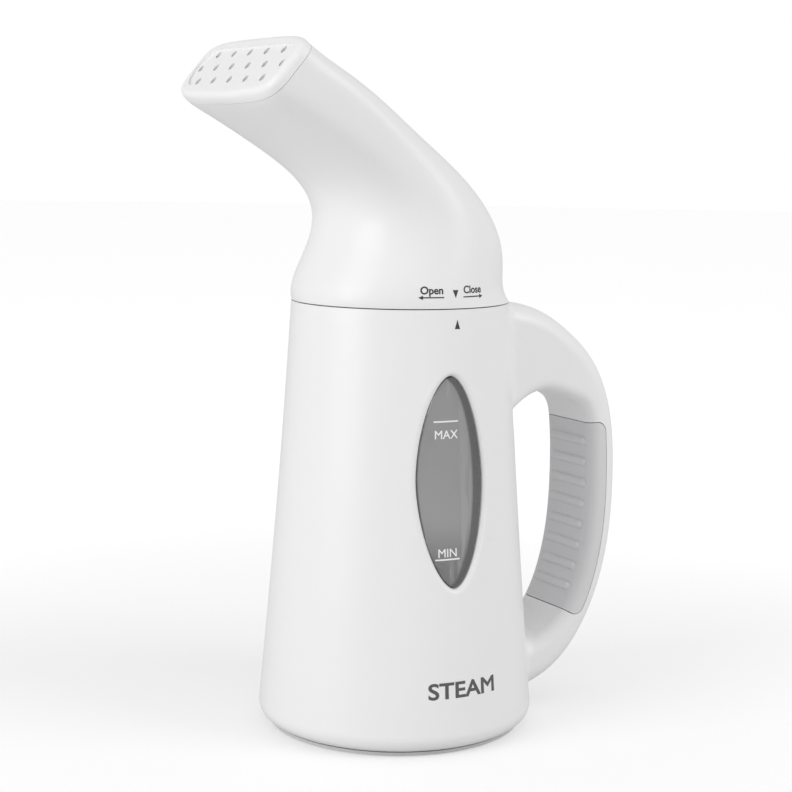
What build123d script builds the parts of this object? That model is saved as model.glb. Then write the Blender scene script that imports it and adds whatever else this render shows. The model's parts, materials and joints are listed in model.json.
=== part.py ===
from build123d import *
from functools import cache
import math
import os

# Handheld garment steamer: a round, slightly tapered water body with a C handle, and a
# screw-off nozzle head that carries the steam forwards.  Millimetres, +Z up.  The origin is
# the centre of the foot ring on the table, +X is the handle side, -X the nozzle side and
# -Y the side with the water window and the printed marks.

# ---- body housing -----------------------------------------------------------------------
SEAM_Z = 160.0          # top edge of the body housing, under the head
TOP_R = 40.5            # outer radius at the seam
LOW_R = 51.8            # outer radius just above the rounded bottom edge
EDGE_Z = 8.0            # height where LOW_R is measured
CONCAVITY = 0.65        # how far the side bows inwards at half height
WALL = 2.4              # housing wall
BASE_Z = 1.6            # underside of the housing
BASE_ROUND = 6.0        # bottom edge rounding
BASE_RIM = 7.2          # width left between the bottom edge and the base opening
BASE_OPENING_R = LOW_R - BASE_RIM
LIP_Z = SEAM_Z - 5.4    # underside of the inner lip that the neck and the tank clamp on
LIP_H = 2.4

# ---- water window -----------------------------------------------------------------------
WINDOW_Z = 98.4         # centre height
WINDOW_X = -2.2         # centre, a little to the nozzle side
WINDOW_HALF_H = 38.0
WINDOW_HALF_W = 13.1
WINDOW_POWER = 1.75     # under 2: an ellipse with more pointed tips
WINDOW_ROUND = 2.0      # softened rim of the opening
WINDOW_RECESS = 1.3     # the clear window lies this far under the housing's surface
WINDOW_GAP = 0.35

# ---- handle -----------------------------------------------------------------------------
# its outlines are drawn for HANDLE_H, the height from the lower root to the seam, and for a
# housing of the two radii below; they are stretched and moved out to the housing as it is
HANDLE_LOW_Z = 6.4
HANDLE_H = 153.6
HANDLE_TOP_R = 40.5
HANDLE_LOW_R = 51.8
HANDLE_HALF_W = 16.0
HANDLE_OUTER_ROUND = 7.5
HANDLE_INNER_ROUND = 4.5
HANDLE_WALL = 2.4
HANDLE_ROOT_ROUND = 6.0
HANDLE_OUTLINE = [(30, 159.2), (46, 158.4), (58, 154.4), (70, 146.6), (80.8, 136), (88.6, 120.5),
                  (92.6, 90), (89.6, 56), (80.5, 31.5), (67, 15), (54, 8.2), (40, HANDLE_LOW_Z)]
ARCH_OUTLINE = [(33, 104), (41.5, 116.8), (56, 124.6), (69.5, 121)]
GRIP_OUTLINE = [(77.6, 110.5), (78.7, 88), (75.8, 57), (68.4, 37.2)]
ROOT_OUTLINE = [(59, 28), (44, 21.5), (30, 18)]
GRIP_WRAP = 7.0         # how far the grip cover reaches round onto the handle's sides
GRIP_CORNER = 4.0
GRIP_GAP = 0.3
RIB_COUNT = 8
RIB_HALF_L = 10.2
RIB_R = 1.9
RIB_RISE = 1.4
RIB_FIRST = 0.10        # first and last rib, as shares of the grip's length
RIB_LAST = 0.88

# ---- base -------------------------------------------------------------------------------
FOOT_R = BASE_OPENING_R - 0.6   # outer radius of the rubber foot ring
FOOT_W = 3.8
FOOT_H = 2.0
COVER_RIM_R = BASE_OPENING_R + 2.6
COVER_RIM_Z = 0.3
COVER_T = 2.4
SEAM_GAP = 0.25
POST_R = 3.8            # posts that carry the tank
POST_PCR = 35.0
POST_BORE = 1.6
BASE_SCREW_ANGLES = (90, 210, 330)

# ---- tank -------------------------------------------------------------------------------
TANK_GAP = 0.9          # between housing and tank
TANK_WALL = 2.0
TANK_Z = WINDOW_Z - WINDOW_HALF_H - 4.4     # underside of the tank floor, just under the window
TANK_FLOOR = 2.2
TANK_HOLE_R = 20.0      # hole for the boiler
SEAL_H = 1.8
SCREW_BORE = 1.45       # threaded hole for the screws of the tank floor

# ---- neck and thread --------------------------------------------------------------------
NECK_R = 31.4
NECK_WALL = 2.4
NECK_REACH = 10.0       # above and below the seam
NECK_FLANGE_R = TOP_R - WALL - 0.5
NECK_FLANGE_T = 1.6
LIP_R = NECK_R + 0.4
MOUTH_R = NECK_R + 1.6  # mouth of the tank, with the seal between it and the neck
LEAD = 30.0             # lift for one full turn of the quick thread
LUG_SPAN = 40.0         # degrees covered by one lug
LUG_COUNT = 3
LUG_H = 2.0
LUG_GAP = 0.35
LUG_Z = SEAM_Z + 5.2    # centre height of a neck lug's low end
NECK_LUG_R = NECK_R + 2.4       # tips of the neck lugs
COLLAR_LUG_R = NECK_R + 0.9     # tips of the collar lugs
NECK_SCREW_PCR = NECK_R + 3.2
NECK_SCREW_ANGLES = (30, 150, 270)

# ---- head -------------------------------------------------------------------------------
HEAD_GAP = 0.4
HEAD_WALL = 2.4
HEAD_POINTS = 32        # points on one section outline
# front point and back point as (x, height above the seam), half width and outline power, from
# the seam to the mouth; they follow the radius of the housing's top, and the mouth keeps its height
HEAD_SECTIONS = [
    ((0.1 - TOP_R, HEAD_GAP), (TOP_R - 0.1, HEAD_GAP), TOP_R - 0.1, 2.0),
    ((4.3 - TOP_R, 16.3), (TOP_R - 3.2, 15.5), TOP_R - 1.8, 2.0),
    ((8.8 - TOP_R, 28.3), (TOP_R - 7.6, 28.9), TOP_R - 3.5, 2.05),
    ((7.6 - TOP_R, 38.4), (TOP_R - 18.0, 41.5), TOP_R - 4.6, 2.2),
    ((-0.9 - TOP_R, 48.6), (7.4, 53.4), TOP_R - 4.9, 2.5),
    ((-14.3 - TOP_R, 58.4), (29.9 - TOP_R, 65.6), TOP_R - 3.9, 3.0),
    ((-26.8 - TOP_R, 66.8), (7.9 - TOP_R, 79.6), TOP_R - 2.2, 3.8),
    ((-34.4 - TOP_R, 74.2), (-17.5 - TOP_R, 94.4), TOP_R - 0.7, 4.6),
]
FACE_T = 4.2            # thickness of the steam plate at the mouth
FACE_ROUND = 2.4
FACE_GAP = 0.15
HOLE_R = 1.5
HOLE_PITCH = 13.3
HOLE_ROW_PITCH = 6.2
HOLE_ROWS = (5, 6, 5)
FIELD_HALF = (36.2, 8.6)    # recessed field around the holes
FIELD_DEPTH = 0.8
SPIGOT_L = 3.5          # the plate's spigot reaches this far into the shell
SPIGOT_WALL = 1.45
COLLAR_BORE_R = NECK_LUG_R + 0.6
COLLAR_LOW_Z = SEAM_Z + 0.9
COLLAR_FLANGE_Z = SEAM_Z + 12.6
COLLAR_FLANGE_T = 3.0
COLLAR_SCREW_PCR = NECK_R + 0.6
COLLAR_SINK = 1.7       # depth of the sunk screw heads
COLLAR_SCREW_ANGLES = (0, 120, 240)
SEAL_RING_R = NECK_R - 0.6
SEAL_RING_W = 3.2

# ---- boiler and steam path --------------------------------------------------------------
BOILER_FLANGE_R = 30.0
BOILER_FLANGE_T = 4.0
GASKET_T = 1.5
HUB_R = 16.0
HUB_TOP_Z = TANK_Z + 15.0
WELL_R = 13.0
BOILER_SCREW_PCR = 27.0
BOILER_SCREW_ANGLES = (45, 135, 225, 315)
SLEEVE_R = 19.0
SLEEVE_WALL = 1.8
SLEEVE_TOP_Z = TANK_Z + 30.0
SLEEVE_NECK_R = 10.0
SLEEVE_NECK_Z = SLEEVE_TOP_Z + 11.0
RISER_R = 8.0
RISER_WALL = 1.6
RISER_TOP_Z = SEAM_Z + 6.0
RISER_SEAL_T = 1.6
BELL_GAP = 0.3
DUCT_WALL = 1.5
DUCT_LOW_Z = SEAM_Z + 0.8
# half height and half width of the duct at the head's last five sections
DUCT_HALF_SIZES = [(11.2, 13.5), (10.6, 18.0), (10.0, 23.0), (9.4, 28.0), (8.8, 32.5)]

# ---- heating and wiring -----------------------------------------------------------------
ELEMENT_R = 3.2
ELEMENT_PCR = 19.0
ELEMENT_OPEN = 50.0     # degrees left open between its two ends
PIN_LOW_Z = TANK_Z - 20.0
THERMOSTAT_R = 8.0
LEAD_R = 1.1
CORD_R = 3.6            # bore of the bushing for the mains cord
BUSHING_WALL = 2.2
BUSHING_L = 9.0
BUSHING_AT = (74.3, 22.6)    # on the handle's lower outer side, drawn as its outlines are
BUSHING_TILT = 40.0     # the cord leaves this many degrees under the horizontal
CLAMP_X = 36.0
CLAMP_HALF = 8.0
CLAMP_POST_H = 8.0
FUSE_R = 2.4
FUSE_L = 14.0
FUSE_Y = 26.2
BLOCK_X = 16.0
BLOCK_L = 24.0
BLOCK_W = 14.0
BLOCK_H = 10.0
EARTH_X = 26.0

MIN = (Align.CENTER, Align.CENTER, Align.MIN)


# ---- shapes used by several pieces --------------------------------------------------------
def wall_radius(z, inset=0.0):
    """Radius of the housing's outer side at height z, less an inset."""
    t = (SEAM_Z - z) / (SEAM_Z - EDGE_Z)
    return TOP_R + (LOW_R - TOP_R) * t - 4 * CONCAVITY * t * (1 - t) - inset


def cone(inset, z0, z1, side_curve=ThreePointArc):
    """Solid inside the housing's side, inset from it, between two heights."""
    low, mid, top = [(wall_radius(z, inset), 0, z) for z in (z0, (z0 + z1) / 2, z1)]
    outline = side_curve(low, mid, top) + Polyline(top, (0, 0, z1), (0, 0, z0), low)
    return revolve(make_face(outline), Axis.Z)


def disc(radius, z0, z1, at=(0, 0)):
    return Pos(at[0], at[1], z0) * Cylinder(radius, z1 - z0, align=MIN)


def ring(outer, inner, z0, z1, at=(0, 0)):
    return disc(outer, z0, z1, at) - disc(inner, z0 - 1, z1 + 1, at)


def turned(*points):
    """Solid of revolution about the body axis from (radius, z) corners."""
    return revolve(make_face(Polyline(*[(r, 0, z) for r, z in points], close=True)), Axis.Z)


def polar(radius, degrees):
    return (radius * math.cos(math.radians(degrees)), radius * math.sin(math.radians(degrees)))


def around(angles, radius, maker):
    """Group of the pieces that maker builds at each place on a circle."""
    return Compound(children=[maker(polar(radius, angle)) for angle in angles])


def signed_power(value, power):
    return math.copysign(abs(value) ** power, value)


def oval_prism(grow, depth):
    """Window outline, grown by grow, as a prism along Y through both sides of the housing."""
    points = []
    for k in range(32):
        a = 2 * math.pi * k / 32
        x = (WINDOW_HALF_W + grow) * signed_power(math.cos(a), 2 / WINDOW_POWER)
        z = (WINDOW_HALF_H + grow) * signed_power(math.sin(a), 2 / WINDOW_POWER)
        points.append((WINDOW_X + x, 0, WINDOW_Z + z))
    face = make_face(Spline(*points, periodic=True))
    return extrude(face, depth, dir=(0, 1, 0), both=True)


def screw(at, z_seat, length, shank_r, head_r, head_h, up=True):
    """Screw along Z: head outside the seat, shank running in from it."""
    if up:
        body = disc(shank_r, z_seat, z_seat + length, at) + disc(head_r, z_seat - head_h, z_seat, at)
        slot = Pos(at[0], at[1], z_seat - head_h) * Box(1.2 * head_r, 0.6, 1.2)
        cross = Pos(at[0], at[1], z_seat - head_h) * Box(0.6, 1.2 * head_r, 1.2)
    else:
        body = disc(shank_r, z_seat - length, z_seat, at) + disc(head_r, z_seat, z_seat + head_h, at)
        slot = Pos(at[0], at[1], z_seat + head_h) * Box(1.2 * head_r, 0.6, 1.2)
        cross = Pos(at[0], at[1], z_seat + head_h) * Box(0.6, 1.2 * head_r, 1.2)
    return body - slot - cross


# ---- handle -------------------------------------------------------------------------------
def upright(points):
    """Handle points in the plane y = 0, set against the housing's side and between its ends."""
    placed = []
    for x, z in points:
        share = (z - HANDLE_LOW_Z) / HANDLE_H
        out = (TOP_R - HANDLE_TOP_R) * share + (LOW_R - HANDLE_LOW_R) * (1 - share)
        placed.append((x + out, 0, HANDLE_LOW_Z + (SEAM_Z - HANDLE_LOW_Z) * share))
    return placed


@cache
def inner_lines():
    """Finger side of the handle: arch, grip and root, each running on from the last."""
    grip = Spline(*upright(GRIP_OUTLINE), tangents=[(0.12, 0, -1), (-0.52, 0, -0.85)])
    arch = Spline(*upright(ARCH_OUTLINE + GRIP_OUTLINE[:1]), tangents=[(0.3, 0, 1), (0.12, 0, -1)])
    root = Spline(*upright(GRIP_OUTLINE[-1:] + ROOT_OUTLINE), tangents=[(-0.52, 0, -0.85), (-1, 0, -0.2)])
    return arch, grip, root


@cache
def handle_solid():
    arch, grip, root = inner_lines()
    outer = Spline(*upright(HANDLE_OUTLINE))
    ends = Line(arch @ 0, outer @ 0) + Line(root @ 1, outer @ 1)
    side = Pos(0, -HANDLE_HALF_W, 0) * make_face(arch + grip + root + outer + ends)
    solid = extrude(side, 2 * HANDLE_HALF_W, dir=(0, 1, 0))
    rims = solid.edges().filter_by(GeomType.BSPLINE).sort_by(SortBy.LENGTH)
    solid = fillet(rims[2:], HANDLE_OUTER_ROUND)
    finger_side = [e for e in solid.edges().filter_by(GeomType.BSPLINE)
                   if abs(abs((e @ 0.5).Y) - HANDLE_HALF_W) < 0.01
                   and (e @ 0.5).X < upright([GRIP_OUTLINE[1]])[0][0] + 1]
    return fillet(finger_side, HANDLE_INNER_ROUND)


def grip_region(grow):
    """Prism that parts the grip cover from the handle, its seam grown by grow."""
    grip = inner_lines()[1]
    top, low = grip @ 0, grip @ 1
    wrap = GRIP_WRAP + grow
    seam = [p + Vector(0, 1, 0).cross(t) * -wrap
            for p, t in ((grip @ f, (grip % f).normalized()) for f in (0.0, 0.3, 0.65, 1.0))]
    seam[0] += Vector(0, 0, grow)
    seam[-1] += (grip % 1).normalized() * grow
    back = [p + Vector(0, 1, 0).cross(t) * HANDLE_INNER_ROUND
            for p, t in ((top, (grip % 0).normalized()), (low, (grip % 1).normalized()))]
    back[0] += Vector(0, 0, grow)
    back[1] += (grip % 1).normalized() * grow
    line = Spline(*seam)
    face = make_face(line + Polyline(seam[-1], back[1], back[0], seam[0]))
    corners = [v for v in face.vertices() if min((v.center() - seam[0]).length,
                                                (v.center() - seam[-1]).length) < 0.1]
    face = Pos(0, -30, 0) * fillet(corners, GRIP_CORNER + grow)
    return extrude(face, 60, dir=(0, 1, 0))


def inset_line(line, distance, count):
    """Line beside a handle outline, distance to the right of its direction seen from -Y."""
    points = []
    for k in range(count):
        f = k / (count - 1)
        points.append((line @ f) + Vector(0, 1, 0).cross((line % f).normalized()) * distance)
    return Spline(*points)


@cache
def handle_hollow():
    """Empty channel inside the handle, open to the base bay at its lower root."""
    arch, grip, root = [inset_line(line, -HANDLE_WALL, 5) for line in inner_lines()]
    outer = inset_line(Spline(*upright(HANDLE_OUTLINE)), HANDLE_WALL, 14)
    ends = Line(arch @ 0, outer @ 0) + Line(root @ 1, outer @ 1)
    half = HANDLE_HALF_W - HANDLE_WALL
    side = Pos(0, -half, 0) * make_face(arch + grip + root + outer + ends)
    channel = extrude(side, 2 * half, dir=(0, 1, 0)) - cone(-HANDLE_WALL, 0, SEAM_Z + 10)
    at = upright([BUSHING_AT])[0][2] - 2
    return channel + Pos(wall_radius(at) - 4, 0, at) * Rot(0, 90, 0) * Cylinder(5.5, 16)


def bushing_frame():
    return Pos(*upright([BUSHING_AT])[0]) * Rot(0, 90 + BUSHING_TILT, 0)


# ---- housing ------------------------------------------------------------------------------
def outer_form():
    """Whole outside of body and handle before it is hollowed."""
    body = cone(0, BASE_Z, SEAM_Z)
    body = fillet(body.edges().sort_by(Axis.Z)[0], BASE_ROUND)
    form = body + handle_solid()
    joint = [e for e in form.edges()
             if e.geom_type != GeomType.CIRCLE and e.length > 3 and (e @ 0.5).X > 0
             and abs(math.hypot((e @ 0.5).X, (e @ 0.5).Y) - wall_radius((e @ 0.5).Z)) < 0.3
             and EDGE_Z + 2 < (e @ 0.5).Z < SEAM_Z - 2]
    return fillet(joint, HANDLE_ROOT_ROUND)


def housing_cavity():
    cavity = cone(WALL, BASE_Z + WALL, LIP_Z)
    cavity = fillet(cavity.edges().sort_by(Axis.Z)[0], BASE_ROUND - WALL)
    cavity += disc(BASE_OPENING_R, 0, BASE_Z + WALL + 1)
    cavity += disc(LIP_R, LIP_Z - 1, SEAM_Z + 1)
    return cavity + cone(WALL, LIP_Z + LIP_H, SEAM_Z + 1)


def body_shell():
    shell = outer_form() - housing_cavity() - handle_hollow()
    shell -= oval_prism(0, 70)
    rims = [e for e in shell.edges().filter_by(GeomType.BSPLINE)
            if e.length > 2 * WINDOW_HALF_H and abs((e @ 0.5).Z - WINDOW_Z) < 2
            and abs(math.hypot((e @ 0.5).X, (e @ 0.5).Y) - wall_radius((e @ 0.5).Z)) < 0.2]
    shell = fillet(rims, WINDOW_ROUND)
    shell -= grip_region(GRIP_GAP)
    shell -= bushing_frame() * Pos(0, 0, -BUSHING_L) * Cylinder(
        CORD_R + BUSHING_WALL, 2 * BUSHING_L, align=MIN)
    for angle in NECK_SCREW_ANGLES:
        shell -= disc(1.6, LIP_Z - 1, LIP_Z + LIP_H + 1, polar(NECK_SCREW_PCR, angle))
    return shell


def grip_cover():
    """Cover that closes the handle's finger side, with moulded ribs."""
    cover = (handle_solid() & grip_region(0)) - handle_hollow()
    grip = inner_lines()[1]
    for k in range(RIB_COUNT):
        f = RIB_FIRST + (RIB_LAST - RIB_FIRST) * k / (RIB_COUNT - 1)
        out = Vector(0, 1, 0).cross((grip % f).normalized())
        centre = (grip @ f) + out * (RIB_RISE - RIB_R)
        rib = Rot(90, 0, 0) * Cylinder(RIB_R, 2 * RIB_HALF_L)
        rib += Pos(0, RIB_HALF_L, 0) * Sphere(RIB_R) + Pos(0, -RIB_HALF_L, 0) * Sphere(RIB_R)
        cover += Pos(*centre) * rib
    return cover


# ---- base ---------------------------------------------------------------------------------
def foot_ring():
    return fillet(ring(FOOT_R, FOOT_R - FOOT_W, 0, FOOT_H).edges().sort_by(Axis.Z)[:2], 0.4)


def base_cover():
    top = BASE_Z - SEAM_GAP
    cover = disc(COVER_RIM_R, COVER_RIM_Z, top)
    cover += disc(BASE_OPENING_R - SEAM_GAP, top, top + COVER_T)
    cover += ring(BASE_OPENING_R - SEAM_GAP, BASE_OPENING_R - 2.2, top, BASE_Z + WALL + 3)
    cover -= ring(FOOT_R, FOOT_R - FOOT_W, -1, FOOT_H)
    cover -= disc(FOOT_R - FOOT_W - 1.6, 0, top)
    for angle in BASE_SCREW_ANGLES:
        at = polar(POST_PCR, angle)
        cover += disc(POST_R, top + 0.5, TANK_Z, at)
        cover -= disc(POST_BORE, 0, TANK_Z + 1, at)
        cover -= disc(3.1, 0, top + 1.0, at)
    for at in clamp_places():
        cover += disc(2.8, top + COVER_T - 0.5, clamp_z(), at)
        cover -= disc(1.1, top + COVER_T, clamp_z() + 1, at)
    return cover


def base_screws():
    top = BASE_Z - SEAM_GAP
    return around(BASE_SCREW_ANGLES, POST_PCR,
                  lambda at: screw(at, top + 1.0, TANK_Z - top + 4.5, 1.35, 2.7, 1.8))


# ---- tank ---------------------------------------------------------------------------------
def water_tank():
    side = WALL + TANK_GAP
    room = cone(side + TANK_WALL, TANK_Z + TANK_FLOOR, LIP_Z - TANK_FLOOR, Spline)
    tank = cone(side, TANK_Z, LIP_Z, Spline)
    bosses = oval_prism(-WINDOW_GAP, 70) & cone(WINDOW_RECESS, TANK_Z, LIP_Z, Spline)
    tank = tank + bosses - room
    tank -= disc(MOUTH_R, LIP_Z - 10, LIP_Z + 1)
    tank -= disc(TANK_HOLE_R, TANK_Z - 1, TANK_Z + TANK_FLOOR + 1)
    for angle in BASE_SCREW_ANGLES:
        tank += disc(3.4, TANK_Z, TANK_Z + 8, polar(POST_PCR, angle))
        tank -= disc(SCREW_BORE, TANK_Z - 1, TANK_Z + 6, polar(POST_PCR, angle))
    for angle in BOILER_SCREW_ANGLES:
        tank += disc(3.0, TANK_Z, TANK_Z + 7, polar(BOILER_SCREW_PCR, angle))
        tank -= disc(SCREW_BORE, TANK_Z - 1, TANK_Z + 5, polar(BOILER_SCREW_PCR, angle))
    for angle in NECK_SCREW_ANGLES:
        lug = disc(2.6, LIP_Z - 9, LIP_Z, polar(NECK_SCREW_PCR, angle))
        wall = cone(side + TANK_WALL / 4, LIP_Z - 10, LIP_Z, Spline)
        tank += (lug & wall) - disc(MOUTH_R, LIP_Z - 10, LIP_Z + 1)
        tank -= disc(1.25, LIP_Z - 7, LIP_Z + 1, polar(NECK_SCREW_PCR, angle))
    return tank


def tank_seal():
    return ring(MOUTH_R, NECK_R, LIP_Z - SEAL_H, LIP_Z)


# ---- neck with its quick thread -------------------------------------------------------------
def lug(inner, outer, z, angle):
    """One helical lug: it climbs clockwise, so the head opens towards the nozzle side."""
    middle = (inner + outer) / 2
    path = Helix(LEAD, LEAD * LUG_SPAN / 360, middle, lefthand=True)
    start = Plane(origin=path @ 0, x_dir=(1, 0, 0), z_dir=path % 0)
    bar = sweep(start * Rectangle(outer - inner, LUG_H), path, is_frenet=True)
    return Rot(0, 0, angle) * Pos(0, 0, z) * bar


def lug_angles():
    return [60 + 360 / LUG_COUNT * k for k in range(LUG_COUNT)]


def neck_ring():
    neck = ring(NECK_R, NECK_R - NECK_WALL, SEAM_Z - NECK_REACH, SEAM_Z + NECK_REACH)
    seat = LIP_Z + LIP_H
    neck += ring(NECK_FLANGE_R, NECK_R - 1, seat, seat + NECK_FLANGE_T)
    for angle in NECK_SCREW_ANGLES:
        neck -= disc(1.5, seat - 1, seat + NECK_FLANGE_T + 1, polar(NECK_SCREW_PCR, angle))
    for angle in lug_angles():
        neck += lug(NECK_R - 0.8, NECK_LUG_R, LUG_Z, angle)
    return neck


def neck_screws():
    seat = LIP_Z + LIP_H + NECK_FLANGE_T
    return around(NECK_SCREW_ANGLES, NECK_SCREW_PCR,
                  lambda at: screw(at, seat, 9.5, 1.15, 2.1, 0.9, up=False))


# ---- boiler -------------------------------------------------------------------------------
def boiler_core():
    top = TANK_Z - GASKET_T
    core = disc(BOILER_FLANGE_R, top - BOILER_FLANGE_T, top)
    core += disc(TANK_HOLE_R - 0.4, top, TANK_Z + 0.4) + disc(HUB_R, top, HUB_TOP_Z)
    core = fillet(core.edges().sort_by(Axis.Z)[-1], 1.2)
    core -= disc(WELL_R, TANK_Z + 1, HUB_TOP_Z + 1)
    for angle in (0, 90, 180, 270):
        core -= Rot(0, 0, angle) * Pos(HUB_R, 0, TANK_Z + 5) * Box(12, 3, 6)
    for angle in BOILER_SCREW_ANGLES:
        core -= disc(1.6, 0, TANK_Z, polar(BOILER_SCREW_PCR, angle))
    return core


def boiler_gasket():
    gasket = ring(BOILER_FLANGE_R - 0.5, TANK_HOLE_R, TANK_Z - GASKET_T, TANK_Z)
    for angle in BOILER_SCREW_ANGLES:
        gasket -= disc(1.7, 0, TANK_Z + 1, polar(BOILER_SCREW_PCR, angle))
    return gasket


def boiler_screws():
    seat = TANK_Z - GASKET_T - BOILER_FLANGE_T
    return around(BOILER_SCREW_ANGLES, BOILER_SCREW_PCR,
                  lambda at: screw(at, seat, TANK_Z - seat + 4, 1.35, 2.8, 2.0))


def boiler_sleeve():
    """Guard round the boiler: water comes in at its foot, steam leaves up the riser."""
    foot = TANK_Z + TANK_FLOOR
    w = SLEEVE_WALL
    low, neck = SLEEVE_R, SLEEVE_NECK_R
    sleeve = turned((low + 3, foot), (low + 3, foot + 1.6), (low, foot + 1.6), (low, SLEEVE_TOP_Z),
                    (neck, SLEEVE_NECK_Z), (neck, SLEEVE_NECK_Z + 8), (RISER_R, SLEEVE_NECK_Z + 8),
                    (RISER_R, SLEEVE_NECK_Z), (low - w, SLEEVE_TOP_Z - 1.0), (low - w, foot))
    for k in range(6):
        sleeve -= Rot(0, 0, 60 * k) * Pos(low, 0, foot + 6) * Box(8, 3, 6)
    return sleeve


def steam_riser():
    riser = ring(RISER_R, RISER_R - RISER_WALL, SLEEVE_NECK_Z, RISER_TOP_Z)
    return riser + ring(RISER_R + 1.6, RISER_R - 0.4, RISER_TOP_Z - 7.5, RISER_TOP_Z - 6)


def riser_seal():
    seal = ring(RISER_R + RISER_SEAL_T, RISER_R, RISER_TOP_Z - 6, RISER_TOP_Z - 1)
    groove = ring(RISER_R + RISER_SEAL_T + 1, RISER_R + RISER_SEAL_T - 0.5,
                  RISER_TOP_Z - 4.4, RISER_TOP_Z - 2.6)
    return seal - groove


# ---- head ---------------------------------------------------------------------------------
def over_seam(point):
    """Point of the head's middle plane from (x, height above the seam)."""
    return Vector(point[0], 0, SEAM_Z + point[1])


def section_wire(front, back, half_width, power, inset=0.0):
    """Closed outline across the head from its front point to its back point."""
    front, back = over_seam(front), over_seam(back)
    centre, reach = (front + back) * 0.5, (front - back) * 0.5
    reach = reach * ((reach.length - inset) / reach.length)
    points = []
    for k in range(HEAD_POINTS):
        a = 2 * math.pi * k / HEAD_POINTS
        p = centre + reach * signed_power(math.cos(a), 2 / power)
        points.append(p + Vector(0, (half_width - inset) * signed_power(math.sin(a), 2 / power), 0))
    return Wire([Edge.make_spline(points, periodic=True)])


def head_form(inset):
    """Smooth solid through the head's sections, all of them set in by one wall."""
    return Solid.make_loft([section_wire(*section, inset) for section in HEAD_SECTIONS])


def mouth_frame(depth):
    """Frame in the mouth's plane, moved back into the head; its z axis points out."""
    front, back = over_seam(HEAD_SECTIONS[-1][0]), over_seam(HEAD_SECTIONS[-1][1])
    x_dir = Vector(0, 1, 0)
    out = (back - front).normalized().cross(x_dir)
    return Plane(origin=(front + back) * 0.5 - out * depth, x_dir=x_dir, z_dir=out)


def behind_mouth(depth):
    """Large block that holds everything deeper in the head than depth."""
    return mouth_frame(depth) * Pos(0, 0, -100) * Box(200, 200, 200)


def nozzle_shell():
    outer = head_form(0)
    shell = (outer - head_form(HEAD_WALL)) & behind_mouth(FACE_T + FACE_GAP)
    top = COLLAR_FLANGE_Z + COLLAR_FLANGE_T
    places = [polar(COLLAR_SCREW_PCR, angle) for angle in COLLAR_SCREW_ANGLES]
    shell += [disc(2.8, top, top + 9, at) & outer for at in places]
    return shell - [disc(1.2, top - 1, top + 7, at) for at in places]


def hole_places():
    for row, count in enumerate(HOLE_ROWS):
        for k in range(count):
            yield (k - (count - 1) / 2) * HOLE_PITCH, (row - 1) * HOLE_ROW_PITCH


def nozzle_face():
    """Steam plate that closes the mouth, with staggered rows of outlets and a spigot behind."""
    frame = mouth_frame(0)
    plate = head_form(0) - behind_mouth(FACE_T)
    front = [e for e in plate.edges() if abs(frame.to_local_coords(e @ 0.3).Z) < 0.01]
    plate = fillet(front, FACE_ROUND)
    spigot_out = HEAD_WALL + FACE_GAP
    spigot = head_form(spigot_out) - head_form(spigot_out + SPIGOT_WALL)
    plate += (spigot & behind_mouth(FACE_T - 1.0)) - behind_mouth(FACE_T + SPIGOT_L)
    plate -= frame * Pos(0, 0, -FIELD_DEPTH) * extrude(
        RectangleRounded(2 * FIELD_HALF[0], 2 * FIELD_HALF[1], FIELD_HALF[1] - 0.5), 10)
    return plate - [frame * Pos(*place, -FACE_T / 2) * Cylinder(HOLE_R, FACE_T + 4)
                    for place in hole_places()]


def thread_collar():
    """Threaded ring screwed inside the head; its lugs run under the neck's lugs."""
    low, seat = COLLAR_LOW_Z, COLLAR_FLANGE_Z
    top = seat + COLLAR_FLANGE_T
    collar = head_form(HEAD_WALL + 0.1) & disc(HEAD_SECTIONS[0][2], low, top)
    collar -= disc(COLLAR_BORE_R, low - 1, seat) + disc(RISER_R + 8, low, top + 1)
    places = [polar(COLLAR_SCREW_PCR, angle) for angle in COLLAR_SCREW_ANGLES]
    collar -= [disc(1.4, low, top + 1, at) + disc(2.1, low, seat + COLLAR_SINK, at) for at in places]
    return collar + [lug(COLLAR_LUG_R, COLLAR_BORE_R + 0.6, LUG_Z - LUG_H - LUG_GAP, angle)
                     for angle in lug_angles()]


def collar_screws():
    return around(COLLAR_SCREW_ANGLES, COLLAR_SCREW_PCR,
                  lambda at: screw(at, COLLAR_FLANGE_Z + COLLAR_SINK, 8.0, 1.1, 1.9, 1.5))


def head_seal():
    low = SEAM_Z + NECK_REACH + 0.3
    return ring(SEAL_RING_R, SEAL_RING_R - SEAL_RING_W, low, COLLAR_FLANGE_Z - 0.3)


def duct_form(inset):
    """Smooth solid from just over the bell round the riser to the mouth."""
    bell = RISER_R + RISER_SEAL_T + BELL_GAP + DUCT_WALL + 0.3
    rise = COLLAR_FLANGE_Z + COLLAR_FLANGE_T - SEAM_Z
    sections = [((-bell, rise), (bell, rise), bell, 2.0)]
    for (front, back, _, power), (height, width) in zip(HEAD_SECTIONS[3:], DUCT_HALF_SIZES):
        front, back = Vector(*front), Vector(*back)
        centre, reach = (front + back) * 0.5, (front - back).normalized() * height
        low, high = centre + reach, centre - reach
        sections.append(((low.X, low.Y), (high.X, high.Y), width, power))
    return Solid.make_loft([section_wire(*section, inset) for section in sections])


def steam_duct():
    bell = RISER_R + RISER_SEAL_T + BELL_GAP
    top = COLLAR_FLANGE_Z + COLLAR_FLANGE_T
    duct = duct_form(0) - mouth_frame(FACE_T + 4.0) * Pos(0, 0, 50) * Box(100, 100, 100)
    duct += disc(RISER_R + 12, top, top + 1.6)
    duct += disc(bell + DUCT_WALL, DUCT_LOW_Z, top + 0.5)
    return duct - duct_form(DUCT_WALL) - disc(bell, DUCT_LOW_Z - 1, top + 0.5)


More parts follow.
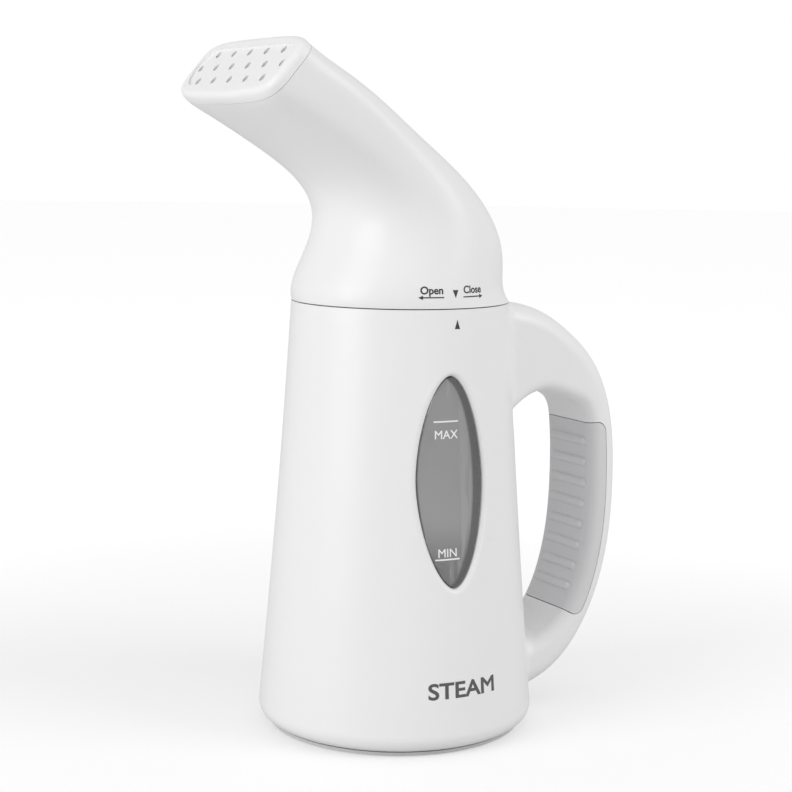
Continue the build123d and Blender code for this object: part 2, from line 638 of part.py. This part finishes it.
def drip_baffle():
    """Perforated disc over the riser that throws water drops back."""
    radius = RISER_R + RISER_SEAL_T + BELL_GAP
    low = COLLAR_FLANGE_Z - 1.2
    baffle = disc(radius, low, low + 1.2) + disc(3.2, low - 2.4, low)
    for k in range(6):
        baffle -= disc(1.5, low - 3, low + 2, polar(6.4, 60 * k))
    return baffle


# ---- heating and wiring ---------------------------------------------------------------------
def element_z():
    return TANK_Z - GASKET_T - BOILER_FLANGE_T - ELEMENT_R


def element_ends():
    half = ELEMENT_OPEN / 2
    return [polar(ELEMENT_PCR, 180 - half), polar(ELEMENT_PCR, 180 + half)]


def heating_element():
    """Sheathed ring heater under the boiler plate, both ends bent down to cold pins."""
    z = element_z()
    body = Pos(0, 0, z) * Rot(0, 0, 180 + ELEMENT_OPEN / 2) * revolve(
        Pos(ELEMENT_PCR, 0, 0) * Rot(90, 0, 0) * Circle(ELEMENT_R), Axis.Z, 360 - ELEMENT_OPEN)
    for at in element_ends():
        body += Pos(*at, z) * Sphere(ELEMENT_R) + disc(ELEMENT_R, z - 6, z, at)
        body += disc(1.2, PIN_LOW_Z, z, at)
    return body


def thermostat():
    top = TANK_Z - GASKET_T - BOILER_FLANGE_T
    cup = disc(THERMOSTAT_R, top - 4, top) + disc(THERMOSTAT_R - 1, top - 10, top - 4)
    for side in (-1, 1):
        cup += Pos(0, side * 4.0, top - 13.5) * Box(6.3, 0.8, 7)
    return cup


def thermostat_bracket():
    seat = TANK_Z - GASKET_T - BOILER_FLANGE_T - 4.0
    strap = Pos(0, 0, seat - 0.8) * extrude(RectangleRounded(29.0, 6.0, 2.5), 0.8)
    strap += disc(THERMOSTAT_R + 1.5, seat - 0.8, seat)
    strap -= disc(THERMOSTAT_R - 0.9, seat - 2, seat + 1)
    for side in (-1, 1):
        strap += disc(2.2, seat, seat + 4.0, (side * 12.0, 0)) - disc(1.3, seat - 1, seat + 5, (side * 12.0, 0))
    return strap


def thermal_fuse():
    """Fuse in its sleeve, lying against the underside of the boiler plate."""
    return Pos(0, FUSE_Y, element_z() + ELEMENT_R - FUSE_R) * Rot(0, 90, 0) * Cylinder(FUSE_R, FUSE_L)


def fuse_clip():
    """Spring clip that holds the fuse up against the boiler plate."""
    top = TANK_Z - GASKET_T - BOILER_FLANGE_T
    middle = Pos(0, FUSE_Y, top - FUSE_R) * Rot(0, 90, 0)
    clip = middle * Cylinder(FUSE_R + 0.8, 5) + Pos(0, FUSE_Y, top - FUSE_R) * Box(
        5, 2 * FUSE_R + 1.6, FUSE_R, align=MIN)
    clip -= disc(30, top, top + 10)
    return clip - middle * Cylinder(FUSE_R, 9) - Pos(0, FUSE_Y, top - FUSE_R) * Box(
        9, 2 * FUSE_R, 9, align=MIN)


def block_top():
    return BASE_Z - SEAM_GAP + COVER_T + BLOCK_H


def terminal_block():
    block = Pos(BLOCK_X, 0, block_top() - BLOCK_H) * Box(BLOCK_L, BLOCK_W, BLOCK_H, align=MIN)
    for way in (-1, 0, 1):
        block -= Pos(BLOCK_X + way * BLOCK_L / 3, -3.5, block_top()) * Cylinder(1.9, 5)
        block -= Pos(BLOCK_X + way * BLOCK_L / 3 + BLOCK_L / 6, 0, block_top()) * Box(1.0, BLOCK_W, 3)
    return block


def terminal_screws():
    screws = []
    for way in (-1, 0, 1):
        at = (BLOCK_X + way * BLOCK_L / 3, -3.5)
        screws.append(disc(1.9, block_top() - 2.5, block_top() - 0.9, at)
                      - Pos(*at, block_top() - 0.9) * Box(3, 0.7, 1.2))
    return Compound(children=screws)


def lead(points, bend=3.4):
    """Insulated lead: straight runs joined by arcs."""
    path = FilletPolyline(*points, radius=bend)
    return sweep(Plane(origin=path @ 0, z_dir=path % 0) * Circle(LEAD_R), path)


def crimp_z():
    return element_z() + ELEMENT_R - 24.0


def way_at(way):
    return BLOCK_X + way * BLOCK_L / 3


def live_lead():
    top, z = block_top(), crimp_z()
    return lead([(way_at(-1), 2, top), (way_at(-1), 2, top + 6), (0, -4, top + 6), (0, -4, z)])


def neutral_lead():
    (x, y), top = element_ends()[1], block_top()
    return lead([(way_at(0), 2, top), (way_at(0), 2, top + 10.4), (4, -12, top + 10.4),
                 (x, y, top + 10.4), (x, y, PIN_LOW_Z - 6)])


def earth_lead():
    top = block_top()
    return lead([(way_at(1), 2, top), (way_at(1), 2, top + 8), (EARTH_X, 0, top + 14),
                 (EARTH_X, 0, earth_z() - 1.6)])


def fuse_feed_lead():
    z, top = crimp_z(), element_z() + ELEMENT_R - FUSE_R
    return lead([(0, 4, z), (0, 4, z - 5), (12, FUSE_Y, z - 5), (12, FUSE_Y, top), (FUSE_L / 2, FUSE_Y, top)])


def fuse_return_lead():
    (x, y), z = element_ends()[0], crimp_z()
    top = element_z() + ELEMENT_R - FUSE_R
    return lead([(-FUSE_L / 2, FUSE_Y, top), (-12, FUSE_Y, top), (-12, FUSE_Y, z - 2), (x, y, z - 2),
                 (x, y, PIN_LOW_Z - 6)])


def earth_z():
    return TANK_Z - GASKET_T - BOILER_FLANGE_T


def earth_tag():
    tag = ring(3.0, 1.5, earth_z() - 0.8, earth_z(), (EARTH_X, 0))
    return tag + disc(1.8, earth_z() - 2.4, earth_z() - 0.7, (EARTH_X, 0)) - disc(
        1.2, earth_z() - 5, earth_z() + 1, (EARTH_X, 0))


def crimps():
    """Push-on terminals on the thermostat's blades and sleeves on the element's pins."""
    z = crimp_z()
    pieces = []
    for side in (-1, 1):
        shell = Pos(0, side * 4.0, z) * Box(7.4, 2.4, 12, align=MIN)
        pieces.append(shell - Pos(0, side * 4.0, z + 8) * Box(6.3, 0.8, 2 * 1.0 + 8))
    for at in element_ends():
        pieces.append(disc(2.2, PIN_LOW_Z - 6, PIN_LOW_Z + 3, at) - disc(1.2, PIN_LOW_Z, PIN_LOW_Z + 4, at))
    return Compound(children=pieces)


def cord_bushing():
    """Sleeve that guards the mains cord's way out of the handle root."""
    sleeve = Pos(0, 0, -0.3) * Cylinder(CORD_R + BUSHING_WALL, BUSHING_L - 0.3,
                                        align=(Align.CENTER, Align.CENTER, Align.MAX))
    return bushing_frame() * (sleeve - Cylinder(CORD_R, 3 * BUSHING_L))


def clamp_z():
    return BASE_Z - SEAM_GAP + COVER_T + CLAMP_POST_H


def clamp_places():
    return [(CLAMP_X, side * CLAMP_HALF) for side in (-1, 1)]


def cord_clamp():
    """Saddle that holds the mains cord down on the base cover."""
    low = clamp_z()
    saddle = Pos(CLAMP_X, 0, low) * Box(6, 2 * CLAMP_HALF + 6, 2.0, align=MIN)
    saddle += Pos(CLAMP_X, 0, low) * Rot(0, 90, 0) * Cylinder(CORD_R + 2.0, 6)
    saddle -= Pos(CLAMP_X, 0, low) * Rot(0, 90, 0) * Cylinder(CORD_R, 8)
    saddle -= Pos(CLAMP_X, 0, low - 10) * Box(8, 30, 10, align=MIN)
    return saddle - [disc(1.3, low - 1, low + 3, at) for at in clamp_places()]


def clamp_screws():
    return Compound(children=[screw(at, clamp_z() + 2.0, 6.5, 1.1, 2.2, 1.4, up=False)
                              for at in clamp_places()])


PIECES = [
    body_shell, grip_cover, foot_ring, base_cover, base_screws, water_tank, tank_seal, neck_ring,
    neck_screws, boiler_core, boiler_gasket, boiler_screws, boiler_sleeve, steam_riser, riser_seal,
    nozzle_shell, nozzle_face, thread_collar, collar_screws, head_seal, steam_duct, drip_baffle,
    heating_element, thermostat, thermostat_bracket, thermal_fuse, fuse_clip, terminal_block,
    terminal_screws, live_lead, neutral_lead, earth_lead, fuse_feed_lead, fuse_return_lead, earth_tag,
    crimps, cord_bushing, cord_clamp, clamp_screws,
]

os.makedirs("parts", exist_ok=True)
for piece in PIECES:
    export_step(piece(), f"parts/{piece.__name__}.step")
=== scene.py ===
import bpy
import bmesh
import json
import math
from mathutils import Matrix, Vector

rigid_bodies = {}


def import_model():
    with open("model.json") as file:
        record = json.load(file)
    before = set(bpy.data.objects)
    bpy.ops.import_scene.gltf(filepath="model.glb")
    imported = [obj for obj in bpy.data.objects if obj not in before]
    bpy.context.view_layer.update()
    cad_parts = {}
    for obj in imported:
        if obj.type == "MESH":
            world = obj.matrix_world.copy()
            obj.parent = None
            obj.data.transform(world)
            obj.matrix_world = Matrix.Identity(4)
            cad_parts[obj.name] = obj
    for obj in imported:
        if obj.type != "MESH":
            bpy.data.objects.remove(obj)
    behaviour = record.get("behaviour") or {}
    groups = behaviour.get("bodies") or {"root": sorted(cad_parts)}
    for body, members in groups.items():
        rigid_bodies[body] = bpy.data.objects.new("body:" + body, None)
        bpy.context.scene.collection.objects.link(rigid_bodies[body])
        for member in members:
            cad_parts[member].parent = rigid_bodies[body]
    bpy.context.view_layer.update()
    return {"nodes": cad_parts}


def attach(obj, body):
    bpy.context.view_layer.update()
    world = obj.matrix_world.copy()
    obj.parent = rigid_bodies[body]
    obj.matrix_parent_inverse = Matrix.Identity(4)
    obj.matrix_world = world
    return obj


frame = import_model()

nodes = frame["nodes"]
for leftover in [o for o in bpy.data.objects if o.name in ("Cube", "Light", "Camera")]:
    bpy.data.objects.remove(leftover)


# Foot ring: a soft rubber band pressed into a groove of the base cover, so that the steamer
# doesn't slide on a table. Moulded, with a dull skin and a little dust in its grain.
def shader(name, roughness, **constants):
    """New material, its shader and a function that adds a node whose inputs it sets or links."""
    material = bpy.data.materials.new(name)
    material.use_nodes = True
    tree = material.node_tree
    surface = tree.nodes["Principled BSDF"]
    surface.inputs["Roughness"].default_value = roughness
    for socket, value in constants.items():
        surface.inputs[socket.replace("_", " ")].default_value = value

    def add(kind, inputs=None, **settings):
        node = tree.nodes.new("ShaderNode" + kind)
        for key, value in settings.items():
            setattr(node, key, value)
        for socket, value in (inputs or {}).items():
            if isinstance(value, bpy.types.NodeSocket):
                tree.links.new(value, node.inputs[socket])
            else:
                node.inputs[socket].default_value = value
        return node

    return material, surface, add


def noise(add, scale, detail=2.0, stretch=(1, 1, 1)):
    """Noise in the piece's own metres; stretch makes it finer along an axis."""
    place = add("Mapping", {"Vector": add("TexCoord").outputs["Object"], "Scale": stretch})
    pattern = add("TexNoise", {"Vector": place.outputs["Vector"], "Scale": scale, "Detail": detail})
    return pattern.outputs["Fac"]


def spread(add, value, low, high):
    """Noise stretched out to run from low to high."""
    return add("MapRange", {"Value": value, "From Min": 0.3, "From Max": 0.7, "To Min": low, "To Max": high})


def shade_mix(add, fac, first, second):
    """Colour that goes from first to second as fac rises."""
    mix = add("Mix", {"Factor": fac}, data_type="RGBA")
    mix.inputs["A"].default_value = (*first, 1)
    mix.inputs["B"].default_value = (*second, 1)
    return mix.outputs["Result"]


def dress(material, surface, add, colour, roughness, bump, depth):
    """Links a colour, a roughness and a grain of that depth in metres to the shader."""
    links = material.node_tree.links
    links.new(colour, surface.inputs["Base Color"])
    links.new(roughness.outputs["Result"], surface.inputs["Roughness"])
    relief = add("Bump", {"Height": bump, "Distance": depth, "Strength": 1.0})
    links.new(relief.outputs["Normal"], surface.inputs["Normal"])
    return material


def moulded(name, colour, roughness, tone=0.03, grain=2600, depth=0.000006, **constants):
    """Injection moulded plastic or rubber: slow drift of tone, uneven gloss and a fine skin."""
    material, surface, add = shader(name, roughness, **constants)
    drift = shade_mix(add, noise(add, 38), [c * (1 - tone) for c in colour], [c * (1 + tone) for c in colour])
    gloss = spread(add, noise(add, 190, 4), roughness * 0.88, roughness * 1.14)
    return dress(material, surface, add, drift, gloss, noise(add, grain, 3), depth)


def finish_nodes(material, *names):
    for name in names:
        nodes[name].data.materials.clear()
        nodes[name].data.materials.append(material)


finish_nodes(moulded("foot_rubber", (0.50, 0.50, 0.50), 0.72, 0.10, 1500, 0.00003), "foot_ring")

# Base cover: light grey plastic disc that closes the housing from below and carries the tank on
# three tall posts. Three long screws run up through the posts.
finish_nodes(moulded("base_grey", (0.62, 0.62, 0.63), 0.42, 0.04, 1800, 0.00001),
             "base_cover", "cord_bushing", "cord_clamp")


def plated(name, colour, roughness, brush=(1, 1, 1), depth=0.00001, tone=0.12):
    """Bare or plated metal: blotches of tone and fine wear marks, drawn out if brushed."""
    material, surface, add = shader(name, roughness, Metallic=1.0)
    drift = shade_mix(add, noise(add, 260, 5), [c * (1 - tone) for c in colour],
                      [c * (1 + tone) for c in colour])
    gloss = spread(add, noise(add, 900, 4, brush), roughness * 0.7, roughness * 1.4)
    return dress(material, surface, add, drift, gloss, noise(add, 1900, 4, brush), depth)


finish_nodes(plated("zinc_steel", (0.62, 0.63, 0.65), 0.32),
             "base_screws", "boiler_screws", "neck_screws", "collar_screws", "clamp_screws",
             "fuse_clip", "thermostat_bracket")

# Mains terminals: grey block, tinned brass screws, crimped sleeves and the earth tag. The leads
# are silicone insulated wires; the earth lead carries its yellow stripes.
finish_nodes(moulded("block_grey", (0.45, 0.45, 0.46), 0.5), "terminal_block")
finish_nodes(plated("tinned_brass", (0.78, 0.64, 0.36), 0.30), "terminal_screws", "crimps", "earth_tag")
finish_nodes(moulded("lead_brown", (0.16, 0.07, 0.035), 0.5, 0.1), "live_lead", "fuse_feed_lead",
             "fuse_return_lead")
finish_nodes(moulded("lead_blue", (0.03, 0.09, 0.32), 0.5, 0.1), "neutral_lead")


def striped_lead(name, ground, stripe, width):
    """Insulation in two colours that run along the wire as bands across the object's X axis."""
    material, surface, add = shader(name, 0.5)
    bands = add("TexWave", {"Vector": add("TexCoord").outputs["Object"], "Scale": 1 / (20 * width)},
                bands_direction="DIAGONAL")
    edge = add("MapRange", {"Value": bands.outputs["Fac"], "From Min": 0.52, "From Max": 0.56})
    gloss = spread(add, noise(add, 300), 0.44, 0.56)
    colour = shade_mix(add, edge.outputs["Result"], ground, stripe)
    return dress(material, surface, add, colour, gloss, noise(add, 2500), 0.00001)


finish_nodes(striped_lead("lead_green", (0.05, 0.26, 0.06), (0.72, 0.60, 0.03), 0.0012), "earth_lead")

# Boiler: die-cast aluminium plate and well, with a heat-darkened sheathed element under it, the
# thermostat and the thermal fuse. A silicone gasket seals it against the tank's floor.
finish_nodes(plated("cast_aluminium", (0.66, 0.66, 0.67), 0.42, depth=0.00005), "boiler_core")
finish_nodes(plated("darkened_sheath", (0.30, 0.27, 0.25), 0.45, tone=0.3), "heating_element")
finish_nodes(moulded("ceramic", (0.70, 0.66, 0.58), 0.65, 0.06, 1200, 0.00002), "thermostat", "thermal_fuse")
finish_nodes(moulded("silicone", (0.62, 0.61, 0.58), 0.45, 0.04, 900, 0.00001, Subsurface_Weight=0.2,
                     Subsurface_Scale=0.002),
             "boiler_gasket", "tank_seal", "riser_seal", "head_seal")

# Steam path inside the tank: a sleeve over the boiler, the riser pipe and the duct in the head.
# Plain white moulded parts with a satin skin, as are the threaded neck and its collar.
finish_nodes(moulded("satin_white", (0.74, 0.74, 0.75), 0.46, 0.02, 2200, 0.00001),
             "boiler_sleeve", "steam_riser", "steam_duct", "drip_baffle", "neck_ring", "thread_collar")


# Water tank: one blow-moulded smoked clear vessel. Its two raised oval windows stand in the
# openings of the housing, with the level marks printed on the one in front.
WINDOW_MIDDLE = (-0.0022, 0.0984)      # x and z of the windows' centre
WINDOW_HALF = (0.0131, 0.038)
SHADOW_BAND_WIDTH = 0.0046                   # width of the painted shadow band along their right edge


def smoked(name, shadow_tone, tint, clear):
    """Smoked plastic with a painted shadow band along its right edge, painted bright glints of reflection
    beside that band, and darker towards the bottom.
    """
    material, surface, add = shader(name, 0.06, IOR=1.46, Transmission_Weight=clear)

    def calc(operation, first, second=0.0):
        return add("Math", {0: first, 1: second}, operation=operation).outputs["Value"]

    def ramp(value, start, end, low, high):
        return add("MapRange", {"Value": value, "From Min": start, "From Max": end, "To Min": low,
                                "To Max": high}, interpolation_type="SMOOTHSTEP").outputs["Result"]

    place = add("SeparateXYZ", {"Vector": add("TexCoord").outputs["Object"]}).outputs
    level = calc("DIVIDE", calc("SUBTRACT", place["Z"], WINDOW_MIDDLE[1]), WINDOW_HALF[1])
    oval = calc("SQRT", calc("MAXIMUM", calc("SUBTRACT", 1.0, calc("MULTIPLY", level, level))))
    edge = calc("ADD", calc("MULTIPLY", oval, WINDOW_HALF[0]), WINDOW_MIDDLE[0])
    inside = calc("SUBTRACT", edge, place["X"])
    # painted shadow: the tank darkens in a band along the window's right edge, where the housing's opening
    # shades it
    body = ramp(inside, 0.8 * SHADOW_BAND_WIDTH, 1.1 * SHADOW_BAND_WIDTH, 0.12, 0.85)
    low = ramp(place["Z"], 0.066, 0.086, 0.45, 1.0)
    # painted reflection: lighter vertical glints, laid only in a strip beside the painted shadow band
    glint_streaks = ramp(noise(add, 420, 2, (1, 1, 0.03)), 0.50, 0.62, 0.0, 0.45)
    glint_zone = calc("MULTIPLY", ramp(inside, SHADOW_BAND_WIDTH, 1.3 * SHADOW_BAND_WIDTH, 0, 1),
                ramp(inside, 1.8 * SHADOW_BAND_WIDTH, 2.4 * SHADOW_BAND_WIDTH, 1, 0))
    shade = calc("ADD", calc("MULTIPLY", body, low), calc("MULTIPLY", glint_streaks, glint_zone))
    gloss = spread(add, noise(add, 300, 3), 0.04, 0.09)
    return dress(material, surface, add, shade_mix(add, shade, shadow_tone, tint), gloss,
                 noise(add, 120, 2), 0.00002)


finish_nodes(smoked("smoked_clear", (0.30, 0.30, 0.305), (0.92, 0.92, 0.925), 0.68), "water_tank")


def surface_point(node, angle, height, lift):
    """Point just over a round piece's side, at that angle from the front and that height."""
    away = Vector((math.sin(angle), -math.cos(angle), 0))
    hit, place, _, _ = nodes[node].ray_cast(away * 0.2 + Vector((0, 0, height)), -away)
    return place + away * lift


INK = 0.00006       # thickness of one printed layer
CAP_SHARE = 0.72    # height of the font's capitals, as a share of its size
STRIP = 0.001       # ink is cut into strips this wide, so that it follows the curved side


def printed(name, flat, node, angle, height, material):
    """Lays flat ink, drawn in X and Y about its own middle, round the side of a CAD piece."""
    radius = -surface_point(node, 0, height, 0).y
    work = bmesh.new()
    work.from_mesh(flat)
    bmesh.ops.remove_doubles(work, verts=work.verts, dist=1e-6)
    strips = math.ceil(max(v.co.x for v in work.verts) / STRIP)
    for k in range(-strips, strips + 1):
        bmesh.ops.bisect_plane(work, geom=work.verts[:] + work.edges[:] + work.faces[:],
                               plane_co=(k * STRIP, 0, 0), plane_no=(1, 0, 0))
    for v in work.verts:
        v.co = surface_point(node, angle + v.co.x / radius, height + v.co.y, INK / 2 + v.co.z)
    bmesh.ops.recalc_face_normals(work, faces=work.faces)
    work.to_mesh(flat)
    work.free()
    flat.name = name
    ink = bpy.data.objects.new(name, flat)
    bpy.context.scene.collection.objects.link(ink)
    ink.data.materials.append(material)
    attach(ink, "head" if node == "nozzle_shell" else "body")
    return ink


def lettering(words, height, weight=0.0, stretch=1.0):
    """Flat solid letters of that cap height about the origin, made bolder by a share of it."""
    curve = bpy.data.curves.new("letters", "FONT")
    curve.body = words
    curve.extrude = 0.5
    curve.resolution_u = 6
    curve.align_x = "CENTER"
    curve.align_y = "CENTER"
    holder = bpy.data.objects.new("letters", curve)
    bpy.context.scene.collection.objects.link(holder)
    bpy.context.view_layer.update()
    mesh = bpy.data.meshes.new_from_object(holder.evaluated_get(bpy.context.evaluated_depsgraph_get()))
    bpy.data.objects.remove(holder)
    work = bmesh.new()
    work.from_mesh(mesh)
    bmesh.ops.remove_doubles(work, verts=work.verts, dist=0.004)
    work.normal_update()
    moves = []
    for v in work.verts:
        away = sum((f.normal for f in v.link_faces if abs(f.normal.z) < 0.5), Vector())
        moves.append(away * min(2 / max(away.length_squared, 0.01), 2 / max(away.length, 0.1)))
    for v, move in zip(work.verts, moves):
        v.co += move * weight
    work.to_mesh(mesh)
    work.free()
    size = height / CAP_SHARE
    mesh.transform(Matrix.Diagonal((stretch * size, size, INK, 1)))
    return mesh


def bar(width, height):
    """Flat solid rectangle about the origin."""
    work = bmesh.new()
    bmesh.ops.create_cube(work, size=1.0)
    bmesh.ops.scale(work, vec=(width, height, INK), verts=work.verts)
    mesh = bpy.data.meshes.new("bar")
    work.to_mesh(mesh)
    work.free()
    return mesh


white_ink = moulded("white_ink", (0.88, 0.88, 0.88), 0.5, 0.02, 4000, 0.000003)
MARK_ANGLE = math.radians(-6.0)
MARK_WIDTH = 0.0096
LINE = 0.00055
for word, line_z, text_z in (("MAX", 0.1204, 0.1156), ("MIN", 0.0711, 0.0733)):
    name = word.lower()
    printed(name + "_line", bar(MARK_WIDTH, LINE), "water_tank", MARK_ANGLE, line_z, white_ink)
    printed(name + "_mark", lettering(word, 0.0031, 0.008), "water_tank", MARK_ANGLE, text_z, white_ink)

# Housing: one glossy white moulding of the tapered body and the handle, with a softened oval
# opening for the window. The mark under the seam shows where the head locks.
gloss_white = moulded("gloss_white", (0.875, 0.875, 0.88), 0.34, 0.006, 160, 0.000002, IOR=1.47)
finish_nodes(gloss_white, "body_shell", "nozzle_shell")
black_ink = moulded("black_ink", (0.035, 0.035, 0.037), 0.45, 0.1, 4000, 0.000003)
grey_ink = moulded("grey_ink", (0.10, 0.10, 0.105), 0.45, 0.1, 4000, 0.000003)


def triangle(width, height, up):
    """Flat solid pointer about the origin."""
    work = bmesh.new()
    bmesh.ops.create_circle(work, cap_ends=True, segments=3, radius=1.0)
    bmesh.ops.rotate(work, matrix=Matrix.Rotation(0 if up else math.pi, 3, "Z"), verts=work.verts)
    body = bmesh.ops.extrude_face_region(work, geom=work.faces[:])
    top = [v for v in body["geom"] if isinstance(v, bmesh.types.BMVert)]
    bmesh.ops.translate(work, vec=(0, 0, 1), verts=top)
    bmesh.ops.translate(work, vec=(0, -0.25 if up else 0.25, -0.5), verts=work.verts)
    bmesh.ops.scale(work, vec=(width / math.sqrt(3), height / 1.5, INK), verts=work.verts)
    mesh = bpy.data.meshes.new("pointer")
    work.to_mesh(mesh)
    work.free()
    return mesh


printed("lock_pointer_body", triangle(0.0021, 0.0033, True), "body_shell", 0.0, 0.1548, black_ink)
printed("steam_word", lettering("STEAM", 0.0058, 0.022, 1.18), "body_shell", 0.0, 0.0240, grey_ink)

# Grip cover: satin white cover that closes the finger side of the handle, with eight moulded
# ribs. Its skin is a little rougher than the housing's and greyer, partly its own tone and partly
# painted shade of its inner face, which turns away from the lamps.
finish_nodes(moulded("grip_satin_shaded", (0.70, 0.70, 0.71), 0.40, 0.02, 2000, 0.00001), "grip_cover")

# Head: the glossy white nozzle shell, with its turning marks, and the steam plate that closes
# its mouth. The plate has a finer, slightly brighter skin.
HEAD_MARK_Z = 0.1668
POINTER_Z = 0.1655
POINTER_ANGLE = -0.7    # degrees from the front, as are the middles of the words below
ARROW_Z = 0.1644
ARROW_HALF = 0.0045
TIP_BACK = 0.0004       # the tip's middle lies this far inside the arrow's end
HEAD_R = 0.0395         # radius of the head at the arrows
for word, middle, side in (("Open", -13.85, -1), ("Close", 10.5, 1)):
    name = word.lower()
    angle = math.radians(middle)
    printed(name + "_word", lettering(word, 0.0027, 0.024), "nozzle_shell", angle, HEAD_MARK_Z, black_ink)
    printed(name + "_arrow", bar(2 * ARROW_HALF, 0.00042), "nozzle_shell", angle, ARROW_Z, black_ink)
    tip = angle + side * (ARROW_HALF - TIP_BACK) / HEAD_R
    head = triangle(0.0015, 0.0017, True)
    head.transform(Matrix.Rotation(-side * math.pi / 2, 4, "Z"))
    printed(name + "_arrow_tip", head, "nozzle_shell", tip, ARROW_Z, black_ink)
printed("lock_pointer_head", triangle(0.0023, 0.0028, False), "nozzle_shell",
        math.radians(POINTER_ANGLE), POINTER_Z, black_ink)
finish_nodes(moulded("plate_white", (0.90, 0.90, 0.90), 0.40, 0.006, 180, 0.000002), "nozzle_face")


# Studio: a pale matt floor, a white surround and two large soft lamps, with the camera in
# front and a little to the left, as the steamer is usually shown.
def softbox(name, place, target, width, height, power):
    lamp = bpy.data.lights.new(name, "AREA")
    lamp.shape = "RECTANGLE"
    lamp.size = width
    lamp.size_y = height
    lamp.energy = power
    holder = bpy.data.objects.new(name, lamp)
    holder.location = place
    holder.rotation_mode = "QUATERNION"
    holder.rotation_quaternion = (Vector(target) - Vector(place)).to_track_quat("-Z", "Y")
    bpy.context.scene.collection.objects.link(holder)


def sweep_white(name):
    """Matt paint that fades into the white surround away from the object."""
    material, surface, add = shader(name, 0.85, Emission_Color=(1, 1, 1, 1))
    reach = add("VectorMath", {"Vector": add("TexCoord").outputs["Object"]}, operation="LENGTH")
    fade = add("MapRange", {"Value": reach.outputs["Value"], "From Min": 0.08, "From Max": 0.6,
                            "To Min": 0.34, "To Max": 0.55}, interpolation_type="SMOOTHSTEP")
    glow = add("Math", {0: fade.outputs["Result"], 1: add("LightPath").outputs["Is Camera Ray"]},
               operation="MULTIPLY")
    material.node_tree.links.new(glow.outputs["Value"], surface.inputs["Emission Strength"])
    tone = shade_mix(add, noise(add, 9, 3), (0.69, 0.69, 0.69), (0.71, 0.71, 0.71))
    gloss = spread(add, noise(add, 40), 0.8, 0.9)
    return dress(material, surface, add, tone, gloss, noise(add, 500), 0.00001)


work = bmesh.new()
bmesh.ops.create_circle(work, cap_ends=True, segments=64, radius=6.0)
floor_mesh = bpy.data.meshes.new("floor")
work.to_mesh(floor_mesh)
work.free()
floor = bpy.data.objects.new("floor", floor_mesh)
bpy.context.scene.collection.objects.link(floor)
floor.data.materials.append(sweep_white("pale_floor"))

# the surround shows white but lights the object less, so that the lamps can shape it
world = bpy.data.worlds.new("surround")
bpy.context.scene.world = world
world.use_nodes = True
surround = world.node_tree
surround.nodes["Background"].inputs["Color"].default_value = (1, 1, 1, 1)
seen = surround.nodes.new("ShaderNodeLightPath")
level = surround.nodes.new("ShaderNodeMapRange")
level.inputs["To Min"].default_value = 0.59
surround.links.new(seen.outputs["Is Camera Ray"], level.inputs["Value"])
surround.links.new(level.outputs["Result"], surround.nodes["Background"].inputs["Strength"])
middle = (0, 0, 0.13)
softbox("key", (-1.15, -0.16, 0.45), middle, 0.7, 1.0, 6.6)
softbox("fill", (0.75, -0.85, 0.75), middle, 0.7, 0.7, 5.2)
bpy.context.scene.view_settings.view_transform = "Standard"

CAMERA_AT = (-0.3333, -0.5773, 0.2172)
CAMERA_HEADING = 29.914     # degrees to the right of +Y
CAMERA_PITCH = -7.96
CAMERA_ROLL = 0.83
camera = bpy.data.objects.new("camera", bpy.data.cameras.new("camera"))
bpy.context.scene.collection.objects.link(camera)
camera.data.sensor_width = 36.0
camera.data.lens = 81.5
camera.matrix_world = (Matrix.Translation(CAMERA_AT)
                       @ Matrix.Rotation(-math.radians(CAMERA_HEADING), 4, "Z")
                       @ Matrix.Rotation(math.radians(90 + CAMERA_PITCH), 4, "X")
                       @ Matrix.Rotation(math.radians(CAMERA_ROLL), 4, "Z"))
bpy.context.scene.camera = camera
